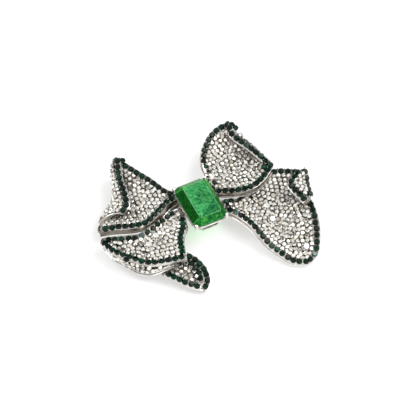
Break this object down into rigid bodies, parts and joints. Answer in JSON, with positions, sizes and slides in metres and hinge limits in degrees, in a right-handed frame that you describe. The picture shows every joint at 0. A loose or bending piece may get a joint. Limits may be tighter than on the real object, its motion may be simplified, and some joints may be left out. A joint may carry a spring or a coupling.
{
  "type": "bow brooch",
  "caption": "Bow brooch: step-cut green centre stone in a claw setting, pave-set lobes with green stone borders, hinged back pin and roller catch.",
  "frame": {"origin": "middle of the brooch's outline in plan, at the height of its lowest point when it lies face up", "axes": "+X to the wearer's left across the bow, as seen from the front; +Y up the cloth; +Z out of the cloth towards the viewer"},
  "size_m": [0.0784, 0.0664, 0.0141],
  "materials": {
    "rhodium": "polished",
    "green_rhinestone": "polished",
    "clear_rhinestone": "polished",
    "emerald": "polished"
  },
  "bodies": {
    "brooch": {"centre_stone": "emerald", "setting_tray": "rhodium", "claw_1": "rhodium", "claw_2": "rhodium", "claw_3": "rhodium", "claw_4": "rhodium", "setting_base": "rhodium", "knot_plate": "rhodium", "pin_bar": "rhodium", "hinge_bracket": "rhodium", "hinge_rivet": "rhodium", "catch_base": "rhodium", "ul_lip_casting": "rhodium", "ur_lip_casting": "rhodium", "lr_lip_casting": "rhodium", "ul_casting": "rhodium", "ur_casting": "rhodium", "ll_casting": "rhodium", "lr_casting": "rhodium", "ll_band_casting": "rhodium", "ll_flap_casting": "rhodium", "accent_stone_1": "clear_rhinestone", "accent_stone_2": "clear_rhinestone", "accent_stone_3": "clear_rhinestone", "accent_stone_4": "clear_rhinestone", "accent_stone_5": "clear_rhinestone", "ul_lip_border": "green_rhinestone", "ul_border_upper": "green_rhinestone", "ul_border_lower": "green_rhinestone", "ll_border_crest": "green_rhinestone", "ll_border_upper": "green_rhinestone", "ll_border_right": "green_rhinestone", "ll_flap_border_outer": "green_rhinestone", "ll_flap_border_lower": "green_rhinestone", "ll_flap_border_inner": "green_rhinestone", "ur_lip_border": "green_rhinestone", "ur_border_left": "green_rhinestone", "ur_border_lower": "green_rhinestone", "lr_lip_border_inner": "green_rhinestone", "lr_border_lower": "green_rhinestone", "lr_border_right": "green_rhinestone", "lr_border_upper": "green_rhinestone", "lr_border_knot": "green_rhinestone", "lr_lip_border_outer": "green_rhinestone", "ul_pave": "clear_rhinestone", "ul_lip_pave": "clear_rhinestone", "ll_pave": "clear_rhinestone", "ll_band_pave": "clear_rhinestone", "ll_flap_pave": "clear_rhinestone", "ur_pave": "clear_rhinestone", "ur_lip_pave": "clear_rhinestone", "lr_pave": "clear_rhinestone", "lr_lip_pave": "clear_rhinestone"},
    "pin": {"pin_stem": "rhodium"},
    "roller": {"catch_roller": "rhodium"}
  },
  "joints": [
    {"name": "pin_hinge", "type": "hinge", "parent": "brooch", "child": "pin", "pos_m": [-0.01613, 0.00832, 0.00165], "axis": [0, 1, 0], "range_deg": [0, 100]},
    {"name": "catch_lock", "type": "hinge", "parent": "brooch", "child": "roller", "pos_m": [0.01547, 0.00832, 0.00165], "axis": [1, 0, 0], "range_deg": [0, 100]}
  ]
}
